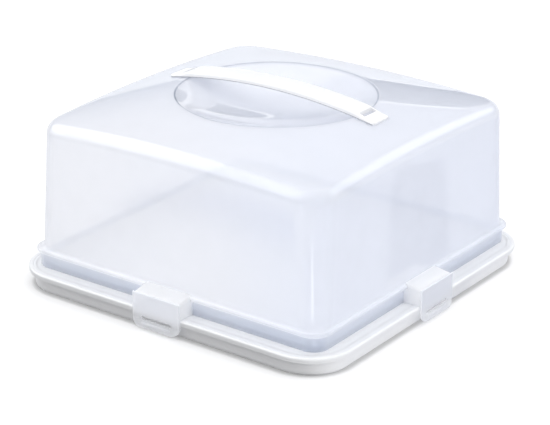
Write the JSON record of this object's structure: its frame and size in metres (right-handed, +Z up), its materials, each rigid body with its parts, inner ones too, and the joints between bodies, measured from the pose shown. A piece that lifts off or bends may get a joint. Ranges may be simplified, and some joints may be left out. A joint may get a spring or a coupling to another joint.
{
  "type": "cake carrier",
  "caption": "Square cake carrier: flat tray, domed translucent lid held by swing clips on its sides, and a bridge handle over a round finger dish.",
  "frame": {"origin": "middle of the tray's foot, on the surface that it stands on", "axes": "+Z up, X along the handle, Y across it; clip_front is on the -Y side"},
  "size_m": [0.3578, 0.3578, 0.187],
  "materials": {
    "white_plastic": "opaque white injection-moulded polypropylene, satin gloss",
    "white_handle": "opaque white moulded polypropylene, satin gloss",
    "clear_lid": "milky translucent polypropylene with a faint blue cast, glossy outside",
    "clear_clip": "milky translucent polypropylene with a faint blue cast, glossy"
  },
  "bodies": {
    "tray": {"base_tray": "white_plastic"},
    "lid": {"lid": "clear_lid", "handle": "white_handle"},
    "clip_front": {"clip_front": "clear_clip"},
    "clip_right": {"clip_right": "clear_clip"},
    "clip_back": {"clip_back": "clear_clip"},
    "clip_left": {"clip_left": "clear_clip"}
  },
  "joints": [
    {"name": "lid_lift", "type": "slide", "parent": "tray", "child": "lid", "axis": [0, 0, 1], "range_m": [0, 0.2]},
    {"name": "clip_front_hinge", "type": "hinge", "parent": "lid", "child": "clip_front", "pos_m": [0, -0.1764, 0.034], "axis": [-1, 0, 0], "range_deg": [0, 140]},
    {"name": "clip_right_hinge", "type": "hinge", "parent": "lid", "child": "clip_right", "pos_m": [0.1764, 0, 0.034], "axis": [0, -1, 0], "range_deg": [0, 140]},
    {"name": "clip_back_hinge", "type": "hinge", "parent": "lid", "child": "clip_back", "pos_m": [0, 0.1764, 0.034], "axis": [1, 0, 0], "range_deg": [0, 140]},
    {"name": "clip_left_hinge", "type": "hinge", "parent": "lid", "child": "clip_left", "pos_m": [-0.1764, 0, 0.034], "axis": [0, 1, 0], "range_deg": [0, 140]}
  ]
}
